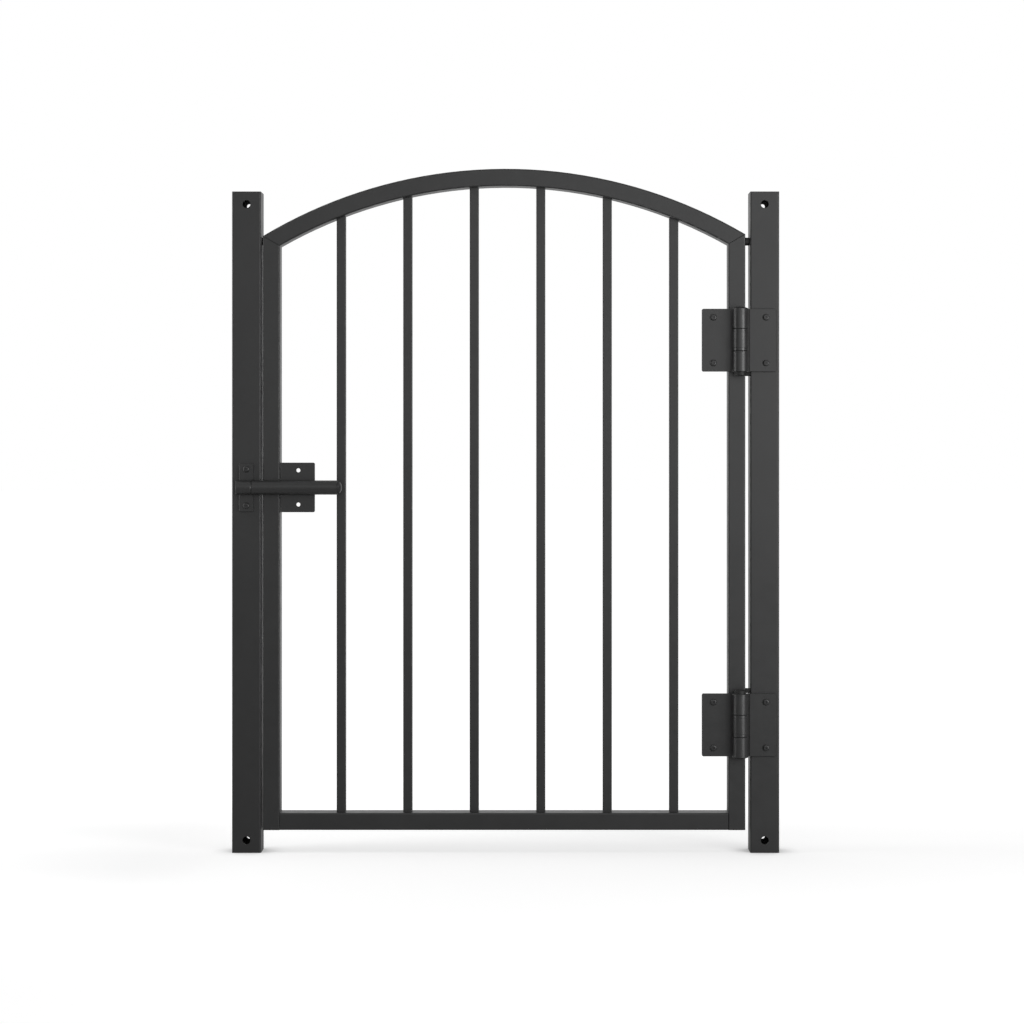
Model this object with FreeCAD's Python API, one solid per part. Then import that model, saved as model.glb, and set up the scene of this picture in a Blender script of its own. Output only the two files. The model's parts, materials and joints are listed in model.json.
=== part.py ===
"""Arched steel garden gate: two square posts, one barred leaf on two barrel hinges, and a barrel bolt.

Millimetres. X runs along the fence from the latch post to the hinge post, Y from the front to the
back, Z up. X 0 is the middle of the gateway and Z 0 the ground. The pieces are drawn with Y 0 on the
common front plane of posts and leaf, and are moved at the end so that Y 0 is the middle of the depth.
"""
import FreeCAD
import Part
import math
import os

Vector = FreeCAD.Vector

# Gateway and posts
opening_width = 858.4
post_width = 50.8
post_height = 1160.0
post_wall = 3.0
post_corner = 2.5
post_plate_thickness = 3.0
fixing_access_diameter = 14.0
fixing_hole_diameter = 8.5
fixing_hole_from_end = 22.0
plug_clearance = 0.1

# Leaf frame
latch_gap = 3.2
hinge_gap = 8.7
ground_clearance = 40.0
crown_above_posts = 40.0
arch_radius = 828.0
frame_face = 30.0
frame_depth = 40.0
frame_wall = 2.0
frame_corner = 2.5
mitre_seam = 0.6
stile_plug_lip = 2.0
stile_plug_depth = 14.0

# Upright bars
bar_count = 6
bar_size = 16.0
bar_wall = 1.5
bar_corner = 1.5
bar_pitch = 117.0
bar_group_offset = 3.2

# Barrel hinges
upper_hinge_below_post_top = 261.0
lower_hinge_centre = 225.0
hinge_height = 110.0
hinge_plate_thickness = 6.0
hinge_plate_corner = 3.0
hinge_axis_inset = 10.4
gate_plate_width = 66.3
post_plate_width = 64.3
plate_split = 1.0
plate_relief = 0.5
plate_edge_chamfer = 0.6
barrel_diameter = 28.0
barrel_clearance = 0.5
barrel_chamfer = 0.85
barrel_overhang = 0.5
barrel_groove_reach = 17.5
barrel_groove_depth = 3.0
knuckle_web_width = 10.0
middle_knuckle_height = 28.0
middle_knuckle_play = 0.15
middle_knuckle_chamfer = 0.2
washer_diameter = 27.6
washer_thickness = 5.5
washer_chamfer = 0.9
pin_diameter = 12.0
pin_clearance = 0.08
pin_head_diameter = 26.0
pin_head_height = 2.7
pin_cap_diameter = 20.0
pin_cap_height = 7.0
pin_cap_floor = 2.0
pin_cap_chamfer = 1.2
hinge_tab_thickness = 6.0
hinge_tab_margin = 2.0
gate_screw_from_axis = 46.0
post_screw_from_axis = 46.0
hinge_screw_spacing = 80.0

# Button-head socket screws and the rivet nuts behind them
screw_diameter = 6.0
screw_head_diameter = 11.5
screw_head_height = 3.3
screw_head_round = 2.6
screw_length = 16.0
screw_clearance = 0.05
screw_hole_clearance = 0.2
socket_across_flats = 4.0
socket_depth = 2.0
nut_diameter = 9.0
nut_length = 12.0
nut_collar_diameter = 12.0
nut_collar_height = 4.0

# Barrel bolt on the leaf
bolt_height = 641.0
guide_diameter = 25.0
guide_face_clearance = 0.7
guide_seat_depth = 0.3
guide_end_land = 10.7
guide_edge_chamfer = 0.8
guide_mouth_chamfer = 0.3
latch_plate_width = 61.3
latch_plate_height = 87.0
latch_plate_thickness = 6.0
latch_plate_corner = 3.0
latch_plate_bevel = 2.5
latch_hole_diameter = 7.2
latch_hole_from_stile = 32.5
latch_hole_spacing = 60.0
rod_diameter = 20.0
rod_clearance = 0.1
rod_end_protrusion = 8.0
rod_dome_height = 4.0
rod_travel = 20.0
rod_tip_inset = 1.0
nose_diameter = 14.0
nose_chamfer = 2.0
nose_shoulder_cover = 5.0
handle_stem_diameter = 6.0
handle_stem_fit = 0.05
handle_knob_diameter = 10.0
handle_knob_chamfer = 1.5
handle_side_clearance = 1.7
handle_tube_clearance = 2.0
handle_bar_clearance = 1.0
slot_clearance = 0.3

# Keeper on the latch post
keeper_length = 27.0
keeper_mouth_inset = 15.0
keeper_mouth_gap = 0.8
keeper_mouth_taper_length = 1.8
keeper_mouth_taper_depth = 0.75
keeper_bore = 21.0
keeper_plate_width = 25.0
keeper_plate_height = 84.5
keeper_plate_thickness = 4.0
keeper_plate_corner = 2.0
keeper_screw_spacing = 64.0
keeper_notch_clearance = 1.0

# Rubber buffers between leaf and posts
buffer_diameter = 14.0
buffer_below_corner = 9.0
buffer_from_front = 12.0
latch_buffer_clearance = 1.0
hinge_buffer_clearance = 0.4
buffer_stem_diameter = 6.0
buffer_stem_length = 8.0
buffer_stem_fit = 0.05
buffer_chamfer = 0.6
gap_pad_height = 7.2
gap_pad_depth = 20.0
gap_pad_from_front = 3.0
gap_pad_corner = 1.0
gap_pad_clearance = 0.3

# Directions
X_AXIS = Vector(1, 0, 0)
Y_AXIS = Vector(0, 1, 0)
Z_AXIS = Vector(0, 0, 1)

# Worked-out places across the gateway
latch_post_face = -opening_width / 2
hinge_post_face = opening_width / 2
latch_post_centre = latch_post_face - post_width / 2
hinge_post_centre = hinge_post_face + post_width / 2
leaf_left = latch_post_face + latch_gap
leaf_right = hinge_post_face - hinge_gap
latch_stile_inner = leaf_left + frame_face
hinge_stile_inner = leaf_right - frame_face
rail_top = ground_clearance + frame_face
bar_front = (frame_depth - bar_size) / 2
first_bar = bar_group_offset - bar_pitch * (bar_count - 1) / 2
bar_centres = [first_bar + bar_pitch * index for index in range(bar_count)]

# The arch of the top rail, one arc about a point on the gateway's middle line
leaf_top = post_height + crown_above_posts
arch_inner_radius = arch_radius - frame_face
arch_centre = Vector(0, 0, leaf_top - arch_radius)
arch_overrun = math.degrees(frame_face / arch_radius)
arch_start = math.degrees(math.asin(leaf_left / arch_radius)) - arch_overrun
arch_finish = math.degrees(math.asin(leaf_right / arch_radius)) + arch_overrun
arch_corner_reach = max(-leaf_left, leaf_right)
arch_corner_height = arch_centre.z + math.sqrt(arch_radius ** 2 - arch_corner_reach ** 2)
mitre_overrun = 4 * frame_face
buffer_height = arch_corner_height - buffer_below_corner

# Hinge places
upper_hinge_centre = post_height - upper_hinge_below_post_top
barrel_radius = barrel_diameter / 2
hinge_axis_x = leaf_right - hinge_axis_inset
groove_floor_y = barrel_groove_depth - hinge_plate_thickness
hinge_axis_y = groove_floor_y - barrel_clearance - barrel_radius
outer_knuckle_start = middle_knuckle_height / 2 + washer_thickness
barrel_half_height = hinge_height / 2 + barrel_overhang
gate_screw_x = hinge_axis_x - gate_screw_from_axis
post_screw_x = hinge_axis_x + post_screw_from_axis

# Bolt places
guide_radius = guide_diameter / 2
bolt_axis_y = -(guide_radius + guide_face_clearance)
latch_plate_front = -(guide_face_clearance + guide_seat_depth)
latch_plate_back = latch_plate_front + latch_plate_thickness
latch_plate_right = latch_stile_inner + latch_plate_width
keeper_mouth = latch_post_face - keeper_mouth_inset
guide_left = keeper_mouth + keeper_mouth_gap
handle_x = latch_plate_right + handle_side_clearance + handle_knob_diameter / 2 + rod_travel
slot_half_width = handle_stem_diameter / 2 + slot_clearance
guide_right = handle_x + slot_half_width + guide_end_land
rod_tip = guide_left + rod_tip_inset
nose_length = rod_travel + nose_shoulder_cover
rod_end = guide_right + rod_end_protrusion

# The whole depth, from the foremost round piece to the backs of the posts, is centred on Y 0
hinge_reach = max(barrel_diameter, pin_cap_diameter) / 2 - hinge_axis_y
front_reach = max(hinge_reach, guide_radius - bolt_axis_y)
front_plane_y = (front_reach - post_width) / 2


def block(low, high):
    """Box between two corners."""
    size = high - low
    return Part.makeBox(size.x, size.y, size.z, low)


def rounded_face(corner, along_u, along_v, size_u, size_v, radius):
    """Rectangle with rounded corners, drawn from its low corner."""

    def at(u, v):
        return corner + along_u * u + along_v * v

    if radius <= 0:
        outline = [at(0, 0), at(size_u, 0), at(size_u, size_v), at(0, size_v), at(0, 0)]
        return Part.Face(Part.makePolygon(outline))
    nip = radius * (1 - math.sqrt(0.5))
    far_u = size_u - radius
    far_v = size_v - radius
    edges = [
        Part.LineSegment(at(radius, 0), at(far_u, 0)),
        Part.Arc(at(far_u, 0), at(size_u - nip, nip), at(size_u, radius)),
        Part.LineSegment(at(size_u, radius), at(size_u, far_v)),
        Part.Arc(at(size_u, far_v), at(size_u - nip, size_v - nip), at(far_u, size_v)),
        Part.LineSegment(at(far_u, size_v), at(radius, size_v)),
        Part.Arc(at(radius, size_v), at(nip, size_v - nip), at(0, far_v)),
        Part.LineSegment(at(0, far_v), at(0, radius)),
        Part.Arc(at(0, radius), at(nip, nip), at(radius, 0)),
    ]
    return Part.Face(Part.Wire([edge.toShape() for edge in edges]))


def tube_face(corner, along_u, along_v, size_u, size_v, radius, wall):
    """Cross-section of a rectangular tube."""
    outer = rounded_face(corner, along_u, along_v, size_u, size_v, radius)
    inner_corner = corner + (along_u + along_v) * wall
    inner_radius = max(radius - wall, 0)
    inner = rounded_face(
        inner_corner, along_u, along_v, size_u - 2 * wall, size_v - 2 * wall, inner_radius
    )
    return outer.cut(inner).Faces[0]


def upright_tube(corner, size_x, size_y, radius, wall, height):
    """Rectangular tube standing on its low front left corner."""
    section = tube_face(corner, X_AXIS, Y_AXIS, size_x, size_y, radius, wall)
    return section.extrude(Z_AXIS * height)


def upright_block(corner, size_x, size_y, radius, height):
    """Solid upright with rounded edges, standing on its low front left corner."""
    return rounded_face(corner, X_AXIS, Y_AXIS, size_x, size_y, radius).extrude(Z_AXIS * height)


def front_plate(corner, width, height, thickness, radius):
    """Plate that faces the front, with rounded corners and a small chamfer round its front face."""
    plate = rounded_face(corner, X_AXIS, Z_AXIS, width, height, radius).extrude(Y_AXIS * thickness)
    front = min(plate.Faces, key=lambda face: face.CenterOfMass.y)
    return plate.makeChamfer(plate_edge_chamfer, front.Edges)


def round_bar(base, direction, diameter, length):
    """Plain round bar."""
    return Part.makeCylinder(diameter / 2, length, base, direction)


def turned(base, direction, profile):
    """Solid of revolution about a line through base; profile is a list of (radius, distance)."""
    points = [Vector(radius, 0, distance) for radius, distance in profile]
    face = Part.Face(Part.makePolygon(points + points[:1]))
    solid = face.revolve(Vector(0, 0, 0), Z_AXIS, 360)
    solid.Placement = FreeCAD.Placement(base, FreeCAD.Rotation(Z_AXIS, direction))
    return solid


def chamfered_bar(base, direction, diameter, length, start_chamfer, end_chamfer):
    """Round bar with a chamfer at each end."""
    radius = diameter / 2
    profile = [
        (0, 0),
        (radius - start_chamfer, 0),
        (radius, start_chamfer),
        (radius, length - end_chamfer),
        (radius - end_chamfer, length),
        (0, length),
    ]
    return turned(base, direction, profile)


def rounded_rim(solid, end, radius):
    """Solid with the rim of its flat end at a given point rounded."""
    flat = min(solid.Faces, key=lambda face: face.CenterOfMass.distanceToPoint(end))
    return solid.makeFillet(radius, flat.Edges)


def one_solid(shape):
    """The main solid that a cut or a fuse leaves, with its split faces merged."""
    return max(shape.removeSplitter().Solids, key=lambda solid: solid.Volume)


def pair(x, centre_height, spacing):
    """Two places one above the other."""
    return [(x, centre_height - spacing / 2), (x, centre_height + spacing / 2)]


def screw(x, plate_front, z):
    """Button-head socket screw, driven from the front."""
    seat = Vector(x, plate_front, z)
    top = seat - Y_AXIS * screw_head_height
    head = round_bar(top, Y_AXIS, screw_head_diameter, screw_head_height)
    head = rounded_rim(head, top, screw_head_round)
    shank = round_bar(seat, Y_AXIS, screw_diameter, screw_length)
    sides = 6
    corner_radius = socket_across_flats / math.sqrt(3)
    turns = [2 * math.pi * step / sides for step in range(sides + 1)]
    corners = [
        top + X_AXIS * (corner_radius * math.cos(turn)) + Z_AXIS * (corner_radius * math.sin(turn))
        for turn in turns
    ]
    socket = Part.Face(Part.makePolygon(corners)).extrude(Y_AXIS * socket_depth)
    return one_solid(head.fuse(shank).cut(socket))


def screw_hole(x, plate_front, z, thickness):
    """What is cut from a plate for one screw."""
    hole_diameter = screw_diameter + 2 * screw_hole_clearance
    return round_bar(Vector(x, plate_front, z), Y_AXIS, hole_diameter, thickness)


def threaded_hole(x, front, z, depth):
    """What is cut from the piece that holds a screw's thread."""
    return round_bar(Vector(x, front, z), Y_AXIS, screw_diameter + 2 * screw_clearance, depth)


def rivet_nut(x, z):
    """Rivet nut set in a post's front wall, its collar swelled behind the wall."""
    body = round_bar(Vector(x, 0, z), Y_AXIS, nut_diameter, nut_length)
    collar = round_bar(Vector(x, post_wall, z), Y_AXIS, nut_collar_diameter, nut_collar_height)
    return one_solid(body.fuse(collar).cut(threaded_hole(x, 0, z, nut_length)))


def post(centre, nut_places):
    """Square post with holes for rivet nuts in its front wall and two fixings near its ends.

    A fixing is a narrow hole in the back wall for a bolt and a wide one in the front wall for its head.
    """
    corner = Vector(centre - post_width / 2, 0, 0)
    tube = upright_tube(corner, post_width, post_width, post_corner, post_wall, post_height)
    for height in (fixing_hole_from_end, post_height - fixing_hole_from_end):
        tube = tube.cut(round_bar(Vector(centre, 0, height), Y_AXIS, fixing_access_diameter, post_wall))
        back = Vector(centre, post_width - post_wall, height)
        tube = tube.cut(round_bar(back, Y_AXIS, fixing_hole_diameter, post_wall))
    for x, z in nut_places:
        hole_diameter = nut_diameter + 2 * screw_clearance
        tube = tube.cut(round_bar(Vector(x, 0, z), Y_AXIS, hole_diameter, post_wall))
    return one_solid(tube)


def post_plate(centre, bottom):
    """Plate welded into the end of a post, flush with it."""
    inset = post_wall + plug_clearance
    size = post_width - 2 * inset
    corner = Vector(centre - size / 2, inset, bottom)
    return upright_block(corner, size, size, max(post_corner - inset, 0), post_plate_thickness)


def mitre_points(outer_x, inner_x):
    """Outer and inner end of the mitre between a stile and the arch, on the front plane."""
    outer_height = arch_centre.z + math.sqrt(arch_radius ** 2 - outer_x ** 2)
    inner_height = arch_centre.z + math.sqrt(arch_inner_radius ** 2 - inner_x ** 2)
    return Vector(outer_x, 0, outer_height), Vector(inner_x, 0, inner_height)


def mitre_slab(outer, inner, rise):
    """Slab above the mitre plane, or below it where rise is negative."""
    along = (inner - outer).normalize() * mitre_overrun
    start = outer - along - Y_AXIS * frame_depth
    finish = inner + along - Y_AXIS * frame_depth
    lift = Z_AXIS * rise
    outline = Part.makePolygon([start, finish, finish + lift, start + lift, start])
    return Part.Face(outline).extrude(Y_AXIS * (3 * frame_depth))


def mitre_seams(outer, inner):
    """Fine grooves along a mitre, where it shows on the front and on the back."""
    along = (inner - outer).normalize() * mitre_overrun
    start = outer - along
    reach = inner + along - start
    across = along.cross(Y_AXIS).normalize() * mitre_seam
    depth = Y_AXIS * mitre_seam
    grooves = []
    for edge in (start, start + Y_AXIS * frame_depth):
        corners = [edge - across, edge - depth, edge + across, edge + depth, edge - across]
        grooves.append(Part.Face(Part.makePolygon(corners)).extrude(reach))
    return grooves


def buffer_hole(face_x, inward):
    """Hole in a stile's side wall for the stem of a buffer."""
    base = Vector(face_x, buffer_from_front, buffer_height)
    return round_bar(base, inward, buffer_stem_diameter + 2 * buffer_stem_fit, frame_wall)


def stile(outer_x, inner_x):
    """Side tube of the leaf, mitred under the arch."""
    outer, inner = mitre_points(outer_x, inner_x)
    corner = Vector(min(outer_x, inner_x), 0, ground_clearance + stile_plug_lip)
    height = outer.z + frame_face - corner.z
    tube = upright_tube(corner, frame_face, frame_depth, frame_corner, frame_wall, height)
    tube = tube.cut(mitre_slab(outer, inner, mitre_overrun))
    tube = tube.cut(mitre_seams(outer, inner))
    inward = X_AXIS * math.copysign(1, inner_x - outer_x)
    return one_solid(tube.cut(buffer_hole(outer_x, inward)))


def stile_plug(left):
    """Plug that closes the foot of a stile: a lip below the tube and an insert in it."""
    corner = Vector(left, 0, ground_clearance)
    lip = upright_block(corner, frame_face, frame_depth, frame_corner, stile_plug_lip)
    inset = frame_wall + plug_clearance
    insert = upright_block(
        corner + (X_AXIS + Y_AXIS) * inset, frame_face - 2 * inset, frame_depth - 2 * inset,
        max(frame_corner - inset, 0), stile_plug_depth,
    )
    return one_solid(lip.fuse(insert))


def bottom_rail():
    """Tube between the stiles."""
    corner = Vector(latch_stile_inner, 0, ground_clearance)
    section = tube_face(corner, Y_AXIS, Z_AXIS, frame_depth, frame_face, frame_corner, frame_wall)
    return section.extrude(X_AXIS * (hinge_stile_inner - latch_stile_inner))


def arched_rail():
    """Tube bent to one arc and mitred on both stiles."""
    crown = Vector(arch_centre.x, 0, leaf_top - frame_face)
    section = tube_face(crown, Y_AXIS, Z_AXIS, frame_depth, frame_face, frame_corner, frame_wall)
    section.rotate(arch_centre, Y_AXIS, arch_start)
    arch = section.revolve(arch_centre, Y_AXIS, arch_finish - arch_start)
    for outer_x, inner_x in ((leaf_left, latch_stile_inner), (leaf_right, hinge_stile_inner)):
        outer, inner = mitre_points(outer_x, inner_x)
        arch = arch.cut(mitre_slab(outer, inner, -mitre_overrun))
        arch = arch.cut(mitre_seams(outer, inner))
    return one_solid(arch)


def bar(centre):
    """Upright bar from the bottom rail to the underside of the arch."""
    corner = Vector(centre - bar_size / 2, bar_front, rail_top)
    tube = upright_tube(corner, bar_size, bar_size, bar_corner, bar_wall, leaf_top - rail_top)
    return one_solid(tube.common(round_bar(arch_centre, Y_AXIS, 2 * arch_inner_radius, frame_depth)))


def knuckle(bottom, height, chamfer):
    """One segment of a hinge's barrel."""
    base = Vector(hinge_axis_x, hinge_axis_y, bottom)
    return chamfered_bar(base, Z_AXIS, barrel_diameter, height, chamfer, chamfer)


def pin_bore(bottom, height):
    """Hole for the pin through a stretch of the barrel."""
    base = Vector(hinge_axis_x, hinge_axis_y, bottom)
    return round_bar(base, Z_AXIS, pin_diameter + 2 * pin_clearance, height)


def knuckle_web(side, bottom, height):
    """Block that joins a knuckle to its plate behind it, on one side of the pin's axis."""
    near = hinge_axis_x + side * plate_split / 2
    far = near + side * knuckle_web_width
    return block(
        Vector(min(near, far), hinge_axis_y, bottom),
        Vector(max(near, far), groove_floor_y, bottom + height),
    )


def barrel_groove(centre):
    """Channel across the front of both plates of a hinge that lets the barrel in."""
    return block(
        Vector(hinge_axis_x - barrel_groove_reach, -hinge_plate_thickness, centre - hinge_height / 2),
        Vector(hinge_axis_x + barrel_groove_reach, groove_floor_y, centre + hinge_height / 2),
    )


def hinge_gate_leaf(centre):
    """Plate on the gate side, with the middle knuckle in front of it."""
    corner = Vector(hinge_axis_x - gate_plate_width, -hinge_plate_thickness, centre - hinge_height / 2)
    width = gate_plate_width - plate_split / 2
    plate = front_plate(corner, width, hinge_height, hinge_plate_thickness, hinge_plate_corner)
    plate = plate.cut(barrel_groove(centre))
    for x, z in pair(gate_screw_x, centre, hinge_screw_spacing):
        plate = plate.cut(screw_hole(x, corner.y, z, hinge_plate_thickness))
    height = middle_knuckle_height - 2 * middle_knuckle_play
    bottom = centre - height / 2
    plate = plate.fuse([knuckle_web(-1, bottom, height), knuckle(bottom, height, middle_knuckle_chamfer)])
    return one_solid(plate.cut(pin_bore(bottom, height)))


def hinge_post_leaf(centre):
    """Plate on the post side, with the upper and lower knuckles in front of it."""
    corner = Vector(hinge_axis_x + plate_split / 2, -hinge_plate_thickness, centre - hinge_height / 2)
    width = post_plate_width - plate_split / 2
    plate = front_plate(corner, width, hinge_height, hinge_plate_thickness, hinge_plate_corner)
    plate = plate.cut(barrel_groove(centre))
    relief_low = Vector(corner.x, -plate_relief, corner.z)
    plate = plate.cut(block(relief_low, Vector(hinge_post_face, 0, corner.z + hinge_height)))
    for x, z in pair(post_screw_x, centre, hinge_screw_spacing):
        plate = plate.cut(screw_hole(x, corner.y, z, hinge_plate_thickness))
    height = barrel_half_height - outer_knuckle_start
    for bottom in (centre - barrel_half_height, centre + outer_knuckle_start):
        plate = plate.fuse([knuckle_web(1, bottom, height), knuckle(bottom, height, barrel_chamfer)])
    return one_solid(plate.cut(pin_bore(centre - barrel_half_height, 2 * barrel_half_height)))


def hinge_washers(centre):
    """Two bearing washers, below and above the middle knuckle, chamfered on their outer sides."""
    rings = []
    for way in (-Z_AXIS, Z_AXIS):
        base = Vector(hinge_axis_x, hinge_axis_y, centre) + way * (middle_knuckle_height / 2)
        disc = chamfered_bar(base, way, washer_diameter, washer_thickness, 0, washer_chamfer)
        bore = round_bar(base, way, pin_diameter + 2 * pin_clearance, washer_thickness)
        rings.append(one_solid(disc.cut(bore)))
    return rings


def hinge_pin(centre, head_way):
    """Pin with a low domed head; head_way points from the pin's middle to its head."""
    middle = Vector(hinge_axis_x, hinge_axis_y, centre)
    tail = barrel_half_height + pin_cap_height - pin_cap_floor
    shaft = round_bar(middle - head_way * tail, head_way, pin_diameter, tail + barrel_half_height)
    head_base = middle + head_way * barrel_half_height
    head = round_bar(head_base, head_way, pin_head_diameter, pin_head_height)
    head_radius = pin_head_diameter / 2
    dome_radius = (head_radius ** 2 + pin_head_height ** 2) / (2 * pin_head_height)
    ball = Part.makeSphere(dome_radius, head_base + head_way * (pin_head_height - dome_radius))
    return one_solid(shaft.fuse(head.common(ball)))


def hinge_pin_cap(centre, head_way):
    """Cap on the pin's other end."""
    base = Vector(hinge_axis_x, hinge_axis_y, centre) - head_way * barrel_half_height
    cap = chamfered_bar(base, -head_way, pin_cap_diameter, pin_cap_height, 0, pin_cap_chamfer)
    depth = pin_cap_height - pin_cap_floor
    return one_solid(cap.cut(round_bar(base, -head_way, pin_diameter + 2 * pin_clearance, depth)))


def hinge_tab(centre):
    """Plate welded beside the hinge stile, behind a gate leaf, that holds its screws."""
    left = hinge_axis_x - gate_plate_width + hinge_tab_margin
    half_height = hinge_height / 2 - hinge_tab_margin
    tab = block(
        Vector(left, 0, centre - half_height),
        Vector(hinge_stile_inner, hinge_tab_thickness, centre + half_height),
    )
    for x, z in pair(gate_screw_x, centre, hinge_screw_spacing):
        tab = tab.cut(threaded_hole(x, 0, z, hinge_tab_thickness))
    return one_solid(tab)


def on_bolt_axis(x):
    """Point on the axis of the bolt."""
    return Vector(x, bolt_axis_y, bolt_height)


def latch_plate():
    """Plate welded beside the latch stile, bevelled there, with two open holes; it carries the guide."""
    corner = Vector(
        latch_stile_inner - latch_plate_corner, latch_plate_front, bolt_height - latch_plate_height / 2
    )
    width = latch_plate_width + latch_plate_corner
    plate = front_plate(corner, width, latch_plate_height, latch_plate_thickness, latch_plate_corner)
    welded_end = Vector(latch_stile_inner, latch_plate_back, corner.z + latch_plate_height)
    plate = plate.cut(block(corner, welded_end))
    edge = Vector(latch_stile_inner, latch_plate_front, corner.z)
    bevel = [edge, edge + X_AXIS * latch_plate_bevel, edge + Y_AXIS * latch_plate_bevel, edge]
    plate = plate.cut(Part.Face(Part.makePolygon(bevel)).extrude(Z_AXIS * latch_plate_height))
    for x, z in pair(latch_stile_inner + latch_hole_from_stile, bolt_height, latch_hole_spacing):
        hole_base = Vector(x, latch_plate_front, z)
        plate = plate.cut(round_bar(hole_base, Y_AXIS, latch_hole_diameter, latch_plate_thickness))
    return one_solid(plate)


def bolt_guide_tube():
    """Tube that the bolt slides in, seated on the latch plate and slotted at the back for the handle."""
    start = on_bolt_axis(guide_left)
    length = guide_right - guide_left
    tube = chamfered_bar(
        start, X_AXIS, guide_diameter, length, guide_mouth_chamfer, guide_edge_chamfer
    )
    tube = tube.cut(round_bar(start, X_AXIS, rod_diameter + 2 * rod_clearance, length))
    tube = tube.cut(block(
        Vector(latch_stile_inner, latch_plate_front, bolt_height - guide_radius),
        Vector(latch_plate_right, 0, bolt_height + guide_radius),
    ))
    for x in (handle_x - rod_travel, handle_x):
        tube = tube.cut(round_bar(on_bolt_axis(x), Y_AXIS, 2 * slot_half_width, guide_diameter))
    slot_low = on_bolt_axis(handle_x - rod_travel) - Z_AXIS * slot_half_width
    slot_high = on_bolt_axis(handle_x) + Z_AXIS * slot_half_width + Y_AXIS * guide_diameter
    return one_solid(tube.cut(block(slot_low, slot_high)))


def bolt_rod():
    """Sliding bolt: a thin nose for the keeper, the guided body and a domed end."""
    length = rod_end - rod_tip
    body_radius = rod_diameter / 2
    nose_radius = nose_diameter / 2
    profile = [
        (0, 0),
        (nose_radius - nose_chamfer, 0),
        (nose_radius, nose_chamfer),
        (nose_radius, nose_length),
        (body_radius, nose_length),
        (body_radius, length),
        (0, length),
    ]
    body = turned(on_bolt_axis(rod_tip), X_AXIS, profile)
    dome_radius = (body_radius ** 2 + rod_dome_height ** 2) / (2 * rod_dome_height)
    ball = Part.makeSphere(dome_radius, on_bolt_axis(rod_end - dome_radius))
    end = round_bar(on_bolt_axis(rod_end - rod_dome_height), X_AXIS, 2 * rod_diameter, rod_dome_height)
    body = body.cut(end.cut(ball))
    stem_hole = handle_stem_diameter + 2 * handle_stem_fit
    return one_solid(body.cut(round_bar(on_bolt_axis(handle_x), Y_AXIS, stem_hole, rod_diameter)))


def bolt_handle():
    """Finger knob on a stem that comes out of the slot in the back of the guide."""
    stem_end = guide_radius + handle_tube_clearance
    knob_end = bar_front - handle_bar_clearance - bolt_axis_y
    stem = handle_stem_diameter / 2
    knob = handle_knob_diameter / 2
    profile = [
        (0, 0),
        (stem, 0),
        (stem, stem_end),
        (knob, stem_end),
        (knob, knob_end - handle_knob_chamfer),
        (knob - handle_knob_chamfer, knob_end),
        (0, knob_end),
    ]
    return turned(on_bolt_axis(handle_x), Y_AXIS, profile)


def keeper():
    """Short tube with a tapered mouth on a plate with two ears, screwed to the latch post."""
    corner = Vector(
        latch_post_centre - keeper_plate_width / 2, -keeper_plate_thickness,
        bolt_height - keeper_plate_height / 2,
    )
    plate = front_plate(
        corner, keeper_plate_width, keeper_plate_height, keeper_plate_thickness, keeper_plate_corner
    )
    notch_half = guide_radius + keeper_notch_clearance
    plate = plate.cut(block(
        Vector(keeper_mouth, corner.y, bolt_height - notch_half),
        Vector(latch_post_face, 0, bolt_height + notch_half),
    ))
    for x, z in pair(latch_post_centre, bolt_height, keeper_screw_spacing):
        plate = plate.cut(screw_hole(x, corner.y, z, keeper_plate_thickness))
    start = on_bolt_axis(keeper_mouth - keeper_length)
    profile = [
        (0, 0),
        (guide_radius - guide_edge_chamfer, 0),
        (guide_radius, guide_edge_chamfer),
        (guide_radius, keeper_length - keeper_mouth_taper_length),
        (guide_radius - keeper_mouth_taper_depth, keeper_length),
        (0, keeper_length),
    ]
    tube = turned(start, X_AXIS, profile)
    return one_solid(plate.fuse(tube).cut(round_bar(start, X_AXIS, keeper_bore, keeper_length)))


def side_buffer(face_x, outward, protrusion):
    """Push-in rubber buffer on the outer side of a stile."""
    base = Vector(face_x, buffer_from_front, buffer_height)
    head = chamfered_bar(base, outward, buffer_diameter, protrusion, 0, buffer_chamfer)
    stem = round_bar(base, -outward, buffer_stem_diameter, buffer_stem_length)
    return one_solid(head.fuse(stem))


def gap_pad(bottom):
    """Rubber pad on the hinge post's inner face that fills the gap beside the hinge stile."""
    width = hinge_gap - gap_pad_clearance
    corner = Vector(hinge_post_face - width, gap_pad_from_front, bottom)
    section = rounded_face(corner, Y_AXIS, Z_AXIS, gap_pad_depth, gap_pad_height, gap_pad_corner)
    return section.extrude(X_AXIS * width)


hinge_heights = {"upper": upper_hinge_centre, "lower": lower_hinge_centre}
head_ways = {"upper": Z_AXIS, "lower": -Z_AXIS}

gate_screw_places = []
post_screw_places = []
for hinge_centre in hinge_heights.values():
    gate_screw_places += pair(gate_screw_x, hinge_centre, hinge_screw_spacing)
    post_screw_places += pair(post_screw_x, hinge_centre, hinge_screw_spacing)
keeper_screw_places = pair(latch_post_centre, bolt_height, keeper_screw_spacing)
gap_pad_bottoms = [
    upper_hinge_centre - hinge_height / 2 - gap_pad_height,
    lower_hinge_centre + hinge_height / 2,
]
cap_bottom = post_height - post_plate_thickness

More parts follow.
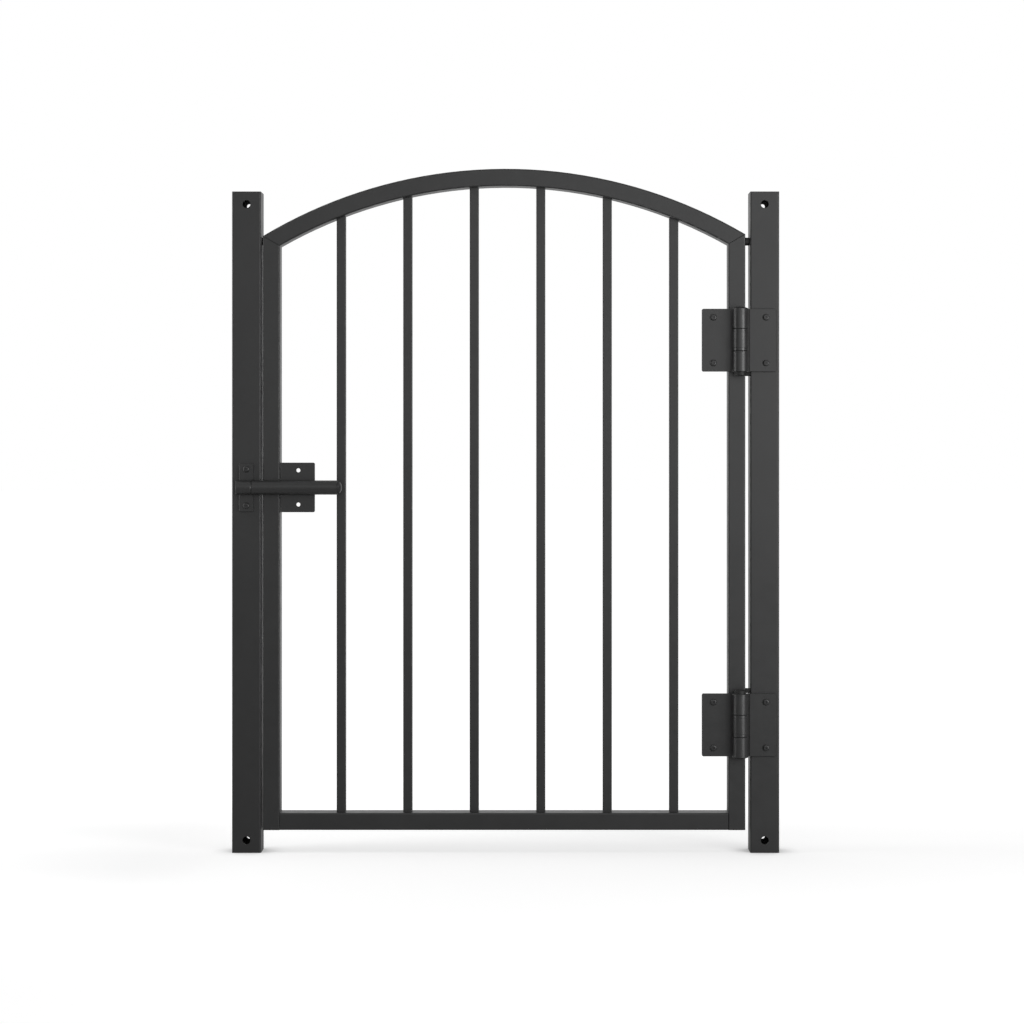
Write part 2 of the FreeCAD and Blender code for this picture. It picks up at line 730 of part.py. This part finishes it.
pieces = {
    "latch_post": [post(latch_post_centre, keeper_screw_places)],
    "hinge_post": [post(hinge_post_centre, post_screw_places)],
    "latch_post_cap": [post_plate(latch_post_centre, cap_bottom)],
    "hinge_post_cap": [post_plate(hinge_post_centre, cap_bottom)],
    "latch_post_foot": [post_plate(latch_post_centre, 0)],
    "hinge_post_foot": [post_plate(hinge_post_centre, 0)],
    "hinge_post_screws": [screw(x, -hinge_plate_thickness, z) for x, z in post_screw_places],
    "hinge_gate_screws": [screw(x, -hinge_plate_thickness, z) for x, z in gate_screw_places],
    "keeper_screws": [screw(x, -keeper_plate_thickness, z) for x, z in keeper_screw_places],
    "post_rivet_nuts": [rivet_nut(x, z) for x, z in post_screw_places + keeper_screw_places],
    "latch_stile": [stile(leaf_left, latch_stile_inner)],
    "hinge_stile": [stile(leaf_right, hinge_stile_inner)],
    "latch_stile_plug": [stile_plug(leaf_left)],
    "hinge_stile_plug": [stile_plug(hinge_stile_inner)],
    "bottom_rail": [bottom_rail()],
    "arched_top_rail": [arched_rail()],
    "latch_plate": [latch_plate()],
    "bolt_guide_tube": [bolt_guide_tube()],
    "bolt_rod": [bolt_rod()],
    "bolt_handle": [bolt_handle()],
    "keeper": [keeper()],
    "latch_side_buffer": [side_buffer(leaf_left, -X_AXIS, latch_gap - latch_buffer_clearance)],
    "hinge_side_buffer": [side_buffer(leaf_right, X_AXIS, hinge_gap - hinge_buffer_clearance)],
    "hinge_gap_pads": [gap_pad(bottom) for bottom in gap_pad_bottoms],
}
for index, centre in enumerate(bar_centres):
    pieces[f"bar_{index + 1}"] = [bar(centre)]
for name, hinge_centre in hinge_heights.items():
    pieces[f"{name}_hinge_gate_leaf"] = [hinge_gate_leaf(hinge_centre)]
    pieces[f"{name}_hinge_post_leaf"] = [hinge_post_leaf(hinge_centre)]
    pieces[f"{name}_hinge_washers"] = hinge_washers(hinge_centre)
    pieces[f"{name}_hinge_pin"] = [hinge_pin(hinge_centre, head_ways[name])]
    pieces[f"{name}_hinge_pin_cap"] = [hinge_pin_cap(hinge_centre, head_ways[name])]
    pieces[f"{name}_hinge_tab"] = [hinge_tab(hinge_centre)]

os.makedirs("parts", exist_ok=True)
for name, solids in pieces.items():
    shape = solids[0] if len(solids) == 1 else Part.makeCompound(solids)
    shape.translate(Y_AXIS * front_plane_y)
    shape.exportStep(f"parts/{name}.step")
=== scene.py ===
"""Looks of the arched steel garden gate: powder coat, black rubber and plastic, and a white studio."""
import json
import math

import bpy
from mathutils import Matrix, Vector


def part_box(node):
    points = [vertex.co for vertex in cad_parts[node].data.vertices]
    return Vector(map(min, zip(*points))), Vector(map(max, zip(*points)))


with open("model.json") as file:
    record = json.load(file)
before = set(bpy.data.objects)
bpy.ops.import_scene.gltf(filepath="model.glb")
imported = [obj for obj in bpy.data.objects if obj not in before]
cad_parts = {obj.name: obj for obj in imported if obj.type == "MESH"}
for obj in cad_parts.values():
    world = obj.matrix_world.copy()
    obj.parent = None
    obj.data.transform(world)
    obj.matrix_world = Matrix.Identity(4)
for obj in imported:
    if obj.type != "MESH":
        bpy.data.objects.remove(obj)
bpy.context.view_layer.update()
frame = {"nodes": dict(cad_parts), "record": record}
nodes = frame["nodes"]

# Noise of the surfaces: cycles per metre, detail, roughness
PAINT_MOTTLE = (14.0, 4.0, 0.6)
PAINT_GLOSS = (60.0, 3.0, 0.55)
MOULD_MOTTLE = (90.0, 3.0, 0.5)
MOULD_GLOSS = (300.0, 2.0, 0.5)
GRAIN_DETAIL = 2.0
GRAIN_ROUGHNESS = 0.5
GRAIN_HEIGHT = 0.0002
NOISE_SPAN = (0.3, 0.7)
MOULD_SPECULAR = 0.35

# Colours of the surfaces, the dark and the light end of the mottling
PAINT_SHADES = ((0.0138, 0.0139, 0.0141), (0.0166, 0.0167, 0.0169))
BOLT_SHADES = ((0.013, 0.013, 0.0133), (0.017, 0.017, 0.0174))
FASTENER_SHADES = ((0.012, 0.012, 0.0123), (0.016, 0.016, 0.0164))
PLASTIC_SHADES = ((0.006, 0.006, 0.006), (0.010, 0.010, 0.010))
RUBBER_SHADES = ((0.005, 0.005, 0.005), (0.009, 0.009, 0.009))

# Floor; each pair of pairs is a span in metres and the values at its two ends
FLOOR_HALF_SIZE = 40.0
FLOOR_SEEN = 0.5
FLOOR_BOUNCE = 0.33
GLOW_FRONT_TO_BACK = ((-0.05, 0.15), (0.535, 0.6))
GLOW_FAR_BEHIND = ((0.15, 0.8), (0.0, 0.165))
# Span of the squared distance from the middle of the gateway
GLOW_FAR_AROUND = ((1.5, 7.0), (0.0, 0.165))
LESS_GLOW_AT_LEFT = ((-0.65, -0.4), (0.1, 0.0))
LEFT_FROM_FRONT = ((-0.5, -0.15), (0.0, 1.0))
LEFT_TO_BACK = ((0.2, 0.7), (1.0, 0.0))
GLOW_IN_REFLECTIONS = ((0.3, 2.0), (0.15, 0.6))
CONTACT_SHADE_REACH = 0.04
CONTACT_SHADE_SAMPLES = 16

# Light of the room by direction, where 1 is straight back or straight up
WALL_BEHIND = ((0.1, 0.7), (0.0, 0.8))
WALL_TOP = ((0.35, 0.75), (1.0, 0.0))
CEILING = ((0.3, 0.8), (0.0, 0.62))
WHITE = 1.0

# Light panels: place and aim in metres, width and height in metres, watts
PANELS = {
    "key_panel": ((1.95, -1.85, 0.8), (0.0, 0.0, 0.7), (1.2, 1.5), 42.5),
    "side_panel": ((-1.5, -0.2, 1.0), (0.0, -0.03, 0.7), (0.5, 1.95), 14.3),
    "right_front_panel": ((0.8, -3.0, 1.5), (0.0, 0.0, 0.7), (1.9, 2.2), 17.0),
    "left_front_panel": ((-0.7, -3.0, 1.5), (0.0, 0.0, 0.7), (1.6, 2.2), 8.7),
}

# Camera: sensor and lens in millimetres, shift in picture widths, the rest in metres
CAMERA_SENSOR = 36.0
CAMERA_LENS = 91.12
CAMERA_SHIFT = (-0.0205, -0.0607)
CAMERA_RANGE = 200.0
CAMERA_X = 0.048
CAMERA_DISTANCE = 4.545
CAMERA_HEIGHT = 0.7069
LEVEL_VIEW = math.radians(90)
POST_FRONT_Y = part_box("latch_post")[0].y


# Materials


def new_material(name):
    """Node material with a Principled shader: the material, its node tree and the shader."""
    material = bpy.data.materials.new(name)
    material.use_nodes = True
    tree = material.node_tree
    return material, tree, tree.nodes["Principled BSDF"]


def noise(tree, scale, detail, roughness):
    """Noise in object space; scale is in cycles per metre."""
    coordinates = tree.nodes.new("ShaderNodeTexCoord")
    texture = tree.nodes.new("ShaderNodeTexNoise")
    texture.inputs["Scale"].default_value = scale
    texture.inputs["Detail"].default_value = detail
    texture.inputs["Roughness"].default_value = roughness
    tree.links.new(coordinates.outputs["Object"], texture.inputs["Vector"])
    return texture.outputs["Fac"]


def ramp(tree, value, span, ends):
    """Smooth change from the first end to the second while the value crosses the span."""
    node = tree.nodes.new("ShaderNodeMapRange")
    node.interpolation_type = "SMOOTHSTEP"
    node.inputs["From Min"].default_value = span[0]
    node.inputs["From Max"].default_value = span[1]
    node.inputs["To Min"].default_value = ends[0]
    node.inputs["To Max"].default_value = ends[1]
    tree.links.new(value, node.inputs["Value"])
    return node.outputs["Result"]


def colour_blend(tree, value, shades):
    """Colour between the dark and the light shade, by the value."""
    node = tree.nodes.new("ShaderNodeValToRGB")
    for element, position, shade in zip(node.color_ramp.elements, NOISE_SPAN, shades):
        element.position = position
        element.color = (*shade, 1)
    tree.links.new(value, node.inputs["Fac"])
    return node.outputs["Color"]


def finish_surface(tree, shader, mottle, shades, gloss, roughness, grain, relief):
    """Mottled colour, uneven gloss and a fine grain on a shader."""
    tree.links.new(colour_blend(tree, noise(tree, *mottle), shades), shader.inputs["Base Color"])
    tree.links.new(ramp(tree, noise(tree, *gloss), NOISE_SPAN, roughness), shader.inputs["Roughness"])
    bump = tree.nodes.new("ShaderNodeBump")
    bump.inputs["Strength"].default_value = relief
    bump.inputs["Distance"].default_value = GRAIN_HEIGHT
    tree.links.new(noise(tree, grain, GRAIN_DETAIL, GRAIN_ROUGHNESS), bump.inputs["Height"])
    tree.links.new(bump.outputs["Normal"], shader.inputs["Normal"])


def coated(name, shades, roughness, grain, relief):
    """Powder coat or blackened steel: faint mottling, a satin gloss and a fine grain."""
    material, tree, shader = new_material(name)
    finish_surface(tree, shader, PAINT_MOTTLE, shades, PAINT_GLOSS, roughness, grain, relief)
    return material


def moulded(name, shades, roughness, grain, relief):
    """Moulded rubber or plastic with a fine matte grain."""
    material, tree, shader = new_material(name)
    shader.inputs["Specular IOR Level"].default_value = MOULD_SPECULAR
    finish_surface(tree, shader, MOULD_MOTTLE, shades, MOULD_GLOSS, roughness, grain, relief)
    return material


gate_paint = coated("gate_paint", PAINT_SHADES, roughness=(0.36, 0.42), grain=900.0, relief=0.1)
fitting_paint = coated("fitting_paint", PAINT_SHADES, roughness=(0.35, 0.41), grain=1100.0, relief=0.1)
bolt_steel = coated("bolt_steel", BOLT_SHADES, roughness=(0.32, 0.40), grain=1500.0, relief=0.06)
fastener_steel = coated("fastener_steel", FASTENER_SHADES, roughness=(0.30, 0.38), grain=1800.0, relief=0.06)
black_plastic = moulded("black_plastic", PLASTIC_SHADES, roughness=(0.5, 0.62), grain=1400.0, relief=0.1)
buffer_rubber = moulded("buffer_rubber", RUBBER_SHADES, roughness=(0.62, 0.75), grain=1200.0, relief=0.15)

slot_materials = {
    "gate_paint": gate_paint,
    "fitting_paint": fitting_paint,
    "bolt_steel": bolt_steel,
    "fastener_steel": fastener_steel,
    "black_plastic": black_plastic,
    "buffer_rubber": buffer_rubber,
}
for part in frame["record"]["subparts"]:
    node_mesh = nodes[part["node"]].data
    node_mesh.materials.clear()
    node_mesh.materials.append(slot_materials[part["material_slot"]])


# Studio


def combine(tree, operation, first, second):
    """Sum, difference, product or larger one of two values."""
    node = tree.nodes.new("ShaderNodeMath")
    node.operation = operation
    tree.links.new(first, node.inputs[0])
    tree.links.new(second, node.inputs[1])
    return node.outputs["Value"]


def choose(tree, switch, when_off, when_on):
    """One of two values, by a switch between 0 and 1; each value is a number or a socket."""
    node = tree.nodes.new("ShaderNodeMix")
    node.data_type = "FLOAT"
    tree.links.new(switch, node.inputs["Factor"])
    for socket, value in ((node.inputs["A"], when_off), (node.inputs["B"], when_on)):
        if isinstance(value, float):
            socket.default_value = value
        else:
            tree.links.new(value, socket)
    return node.outputs["Result"]


def split_coordinate(tree, output):
    """X, Y and Z sockets of a texture coordinate."""
    coordinates = tree.nodes.new("ShaderNodeTexCoord")
    split = tree.nodes.new("ShaderNodeSeparateXYZ")
    tree.links.new(coordinates.outputs[output], split.inputs["Vector"])
    return split.outputs


def floor_glow(tree, place):
    """Glow that makes the floor white for the camera.

    It is stronger behind the gate and far from it, where the panels light the floor less, and weaker at the
    left, where they light it more. Close to the feet of the posts it is dimmed for their contact shadows.
    """
    x = place["X"]
    y = place["Y"]
    squared = combine(tree, "ADD", combine(tree, "MULTIPLY", x, x), combine(tree, "MULTIPLY", y, y))
    far = combine(tree, "MAXIMUM", ramp(tree, y, *GLOW_FAR_BEHIND), ramp(tree, squared, *GLOW_FAR_AROUND))
    full = combine(tree, "ADD", ramp(tree, y, *GLOW_FRONT_TO_BACK), far)
    close = combine(tree, "MULTIPLY", ramp(tree, y, *LEFT_FROM_FRONT), ramp(tree, y, *LEFT_TO_BACK))
    less = combine(tree, "MULTIPLY", ramp(tree, x, *LESS_GLOW_AT_LEFT), close)
    shade = tree.nodes.new("ShaderNodeAmbientOcclusion")
    shade.samples = CONTACT_SHADE_SAMPLES
    shade.inputs["Distance"].default_value = CONTACT_SHADE_REACH
    return combine(tree, "MULTIPLY", combine(tree, "SUBTRACT", full, less), shade.outputs["AO"])


def floor_material():
    """White for the camera, with the object's soft shadow; a dimmer grey is thrown back on the object."""
    material = bpy.data.materials.new("floor_white")
    material.use_nodes = True
    tree = material.node_tree
    tree.nodes.clear()
    output = tree.nodes.new("ShaderNodeOutputMaterial")
    add = tree.nodes.new("ShaderNodeAddShader")
    diffuse = tree.nodes.new("ShaderNodeBsdfDiffuse")
    glow = tree.nodes.new("ShaderNodeEmission")
    path = tree.nodes.new("ShaderNodeLightPath")
    camera_ray = path.outputs["Is Camera Ray"]
    place = split_coordinate(tree, "Object")
    tree.links.new(choose(tree, camera_ray, FLOOR_BOUNCE, FLOOR_SEEN), diffuse.inputs["Color"])
    mirrored = ramp(tree, place["Y"], *GLOW_IN_REFLECTIONS)
    reflected = choose(tree, path.outputs["Is Glossy Ray"], 0.0, mirrored)
    strength = choose(tree, camera_ray, reflected, floor_glow(tree, place))
    tree.links.new(strength, glow.inputs["Strength"])
    tree.links.new(diffuse.outputs["BSDF"], add.inputs[0])
    tree.links.new(glow.outputs["Emission"], add.inputs[1])
    tree.links.new(add.outputs["Shader"], output.inputs["Surface"])
    return material


def make_floor():
    """Wide level floor under the gate."""
    size = FLOOR_HALF_SIZE
    mesh = bpy.data.meshes.new("floor")
    corners = [(-size, -size, 0), (size, -size, 0), (size, size, 0), (-size, size, 0)]
    mesh.from_pydata(corners, [], [(0, 1, 2, 3)])
    mesh.materials.append(floor_material())
    floor = bpy.data.objects.new("floor", mesh)
    bpy.context.scene.collection.objects.link(floor)


def make_world():
    """White to the camera; for the light, a white wall behind, a pale ceiling and a dark room in front."""
    world = bpy.data.worlds.new("studio")
    bpy.context.scene.world = world
    world.use_nodes = True
    tree = world.node_tree
    background = tree.nodes["Background"]
    background.inputs["Color"].default_value = (1, 1, 1, 1)
    path = tree.nodes.new("ShaderNodeLightPath")
    direction = split_coordinate(tree, "Generated")
    y = direction["Y"]
    z = direction["Z"]
    wall = combine(tree, "MULTIPLY", ramp(tree, y, *WALL_BEHIND), ramp(tree, z, *WALL_TOP))
    room = combine(tree, "ADD", wall, ramp(tree, z, *CEILING))
    strength = choose(tree, path.outputs["Is Camera Ray"], room, WHITE)
    tree.links.new(strength, background.inputs["Strength"])


def add_panel(name, place, target, size, power):
    """Soft light panel that faces a point; the camera doesn't see it."""
    lamp = bpy.data.lights.new(name, "AREA")
    lamp.shape = "RECTANGLE"
    lamp.size, lamp.size_y = size
    lamp.energy = power
    lamp_object = bpy.data.objects.new(name, lamp)
    lamp_object.location = place
    lamp_object.rotation_euler = (Vector(target) - Vector(place)).to_track_quat("-Z", "Y").to_euler()
    lamp_object.visible_camera = False
    bpy.context.scene.collection.objects.link(lamp_object)


def make_camera():
    """Camera at the photograph's place, level, with the picture shifted as its framing needs."""
    data = bpy.data.cameras.new("camera")
    data.sensor_width = CAMERA_SENSOR
    data.lens = CAMERA_LENS
    data.shift_x, data.shift_y = CAMERA_SHIFT
    data.clip_end = CAMERA_RANGE
    camera = bpy.data.objects.new("camera", data)
    camera.location = (CAMERA_X, POST_FRONT_Y - CAMERA_DISTANCE, CAMERA_HEIGHT)
    camera.rotation_euler = (LEVEL_VIEW, 0, 0)
    bpy.context.scene.collection.objects.link(camera)
    bpy.context.scene.camera = camera


make_floor()
make_world()
for panel_name, panel in PANELS.items():
    add_panel(panel_name, *panel)
make_camera()
bpy.context.scene.view_settings.view_transform = "Standard"
